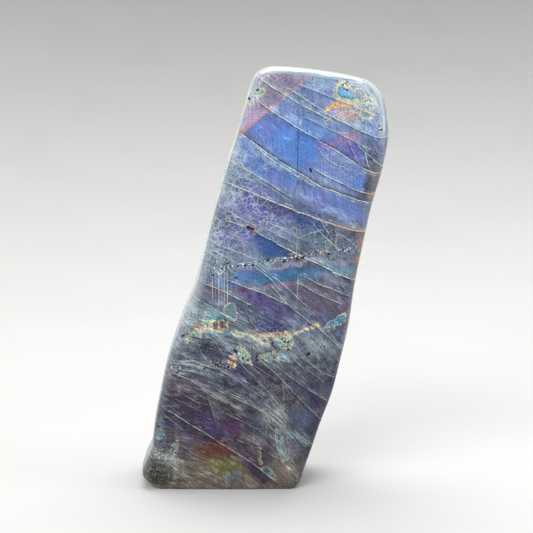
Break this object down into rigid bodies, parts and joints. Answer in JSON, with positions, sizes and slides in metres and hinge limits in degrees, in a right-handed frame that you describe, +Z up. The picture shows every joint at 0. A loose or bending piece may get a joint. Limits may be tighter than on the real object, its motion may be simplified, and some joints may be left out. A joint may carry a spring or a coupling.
{
  "type": "polished labradorite free-form",
  "caption": "Tall free-form slab of polished labradorite that leans to one side and stands upright on a flat sawn foot.",
  "frame": {"origin": "middle of the foot's flat sawn face, on the surface the stone stands on", "axes": "+Z up along the stone's height; the broad polished face looks along -Y; the stone leans towards +X"},
  "size_m": [0.1243, 0.0504, 0.2095],
  "materials": {
    "labradorite": "polished dark grey feldspar with a blue and violet flash, pale cleavage lines and small rainbow patches"
  },
  "bodies": {
    "root": {"labradorite": "labradorite"}
  },
  "joints": []
}
